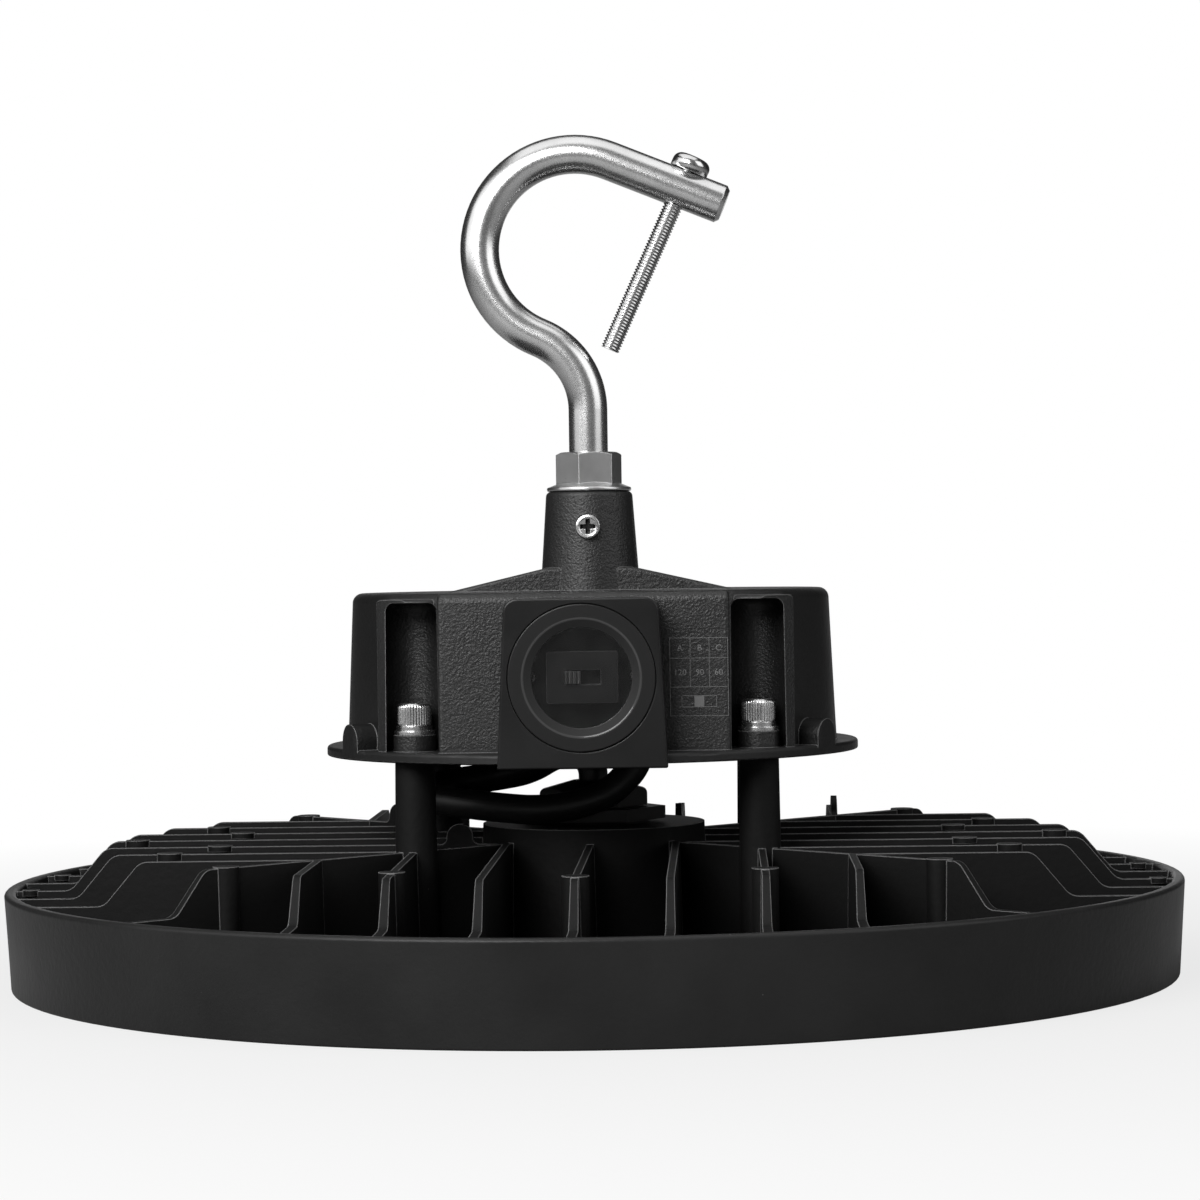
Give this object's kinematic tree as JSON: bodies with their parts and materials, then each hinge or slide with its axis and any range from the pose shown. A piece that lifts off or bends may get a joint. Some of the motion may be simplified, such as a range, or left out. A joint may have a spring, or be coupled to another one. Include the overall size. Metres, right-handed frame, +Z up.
{
  "type": "high bay light",
  "caption": "Round finned high bay light with a driver housing raised on posts, a selector window and a screw-gated hanging hook.",
  "frame": {"origin": "centre of the rim's bottom edge, on the surface the light stands on", "axes": "+Z up through the hook's stem, -Y towards the selector window, +X towards the hook's mouth"},
  "size_m": [0.2998, 0.2998, 0.2151],
  "materials": {
    "cast_black": "powder coated die casting, satin",
    "bezel_black": "smooth moulded plastic",
    "plastic_black": "moulded plastic",
    "nylon_black": "moulded nylon",
    "rubber_black": "matt rubber",
    "lead_black": "soft sheathed cable",
    "silicone_grey": "matt silicone",
    "smoked_clear": "smoked clear moulding",
    "lens_clear": "clear moulded lens",
    "board_white": "white solder mask on an aluminium board",
    "board_green": "green solder mask",
    "phosphor": "yellow phosphor over the chips",
    "screw_black": "black oxide",
    "steel_bright": "bright zinc plate",
    "ferrite": "ferrite core with yellow tape",
    "sleeve_black": "shrink sleeve",
    "copper": "enamelled winding"
  },
  "bodies": {
    "fixture": {"heat_sink": "cast_black", "led_board": "board_white", "led_chips": "phosphor", "lens_plate": "lens_clear", "lens_gasket": "silicone_grey", "lens_screws": "screw_black", "led_wires": "lead_black", "output_lead": "lead_black", "lead_grommet": "rubber_black", "driver_housing": "cast_black", "base_plate": "cast_black", "base_gasket": "silicone_grey", "base_screws": "screw_black", "driver_board": "board_green", "board_screws": "steel_bright", "transformer": "ferrite", "capacitors": "sleeve_black", "choke": "copper", "switch_board": "board_green", "switch_screws": "steel_bright", "switch_body": "plastic_black", "switch_bezel": "bezel_black", "cap_screws": "steel_bright", "spring_washers": "steel_bright", "flat_washers": "steel_bright", "hook": "steel_bright", "hook_nut": "steel_bright", "hook_set_screw": "steel_bright", "lead_gland_washer": "rubber_black", "lead_gland_body": "nylon_black", "lead_gland_nut": "nylon_black", "lead_gland_seal": "rubber_black", "lead_gland_locknut": "nylon_black", "mains_gland_washer": "rubber_black", "mains_gland_body": "nylon_black", "mains_gland_nut": "nylon_black", "mains_gland_seal": "rubber_black", "mains_gland_locknut": "nylon_black"},
    "selector": {"selector_slider": "plastic_black"},
    "cap": {"window_cap": "smoked_clear", "window_seal": "rubber_black"},
    "gate": {"gate_screw": "steel_bright"}
  },
  "joints": [
    {"name": "selector_slide", "type": "slide", "parent": "fixture", "child": "selector", "axis": [1, 0, 0], "range_m": [0, 0.0045]},
    {"name": "cap_pull", "type": "slide", "parent": "fixture", "child": "cap", "axis": [0, -1, 0], "range_m": [0, 0.025]},
    {"name": "gate_travel", "type": "slide", "parent": "fixture", "child": "gate", "axis": [0.4163, 0, 0.9092], "range_m": [0, 0.048]}
  ]
}
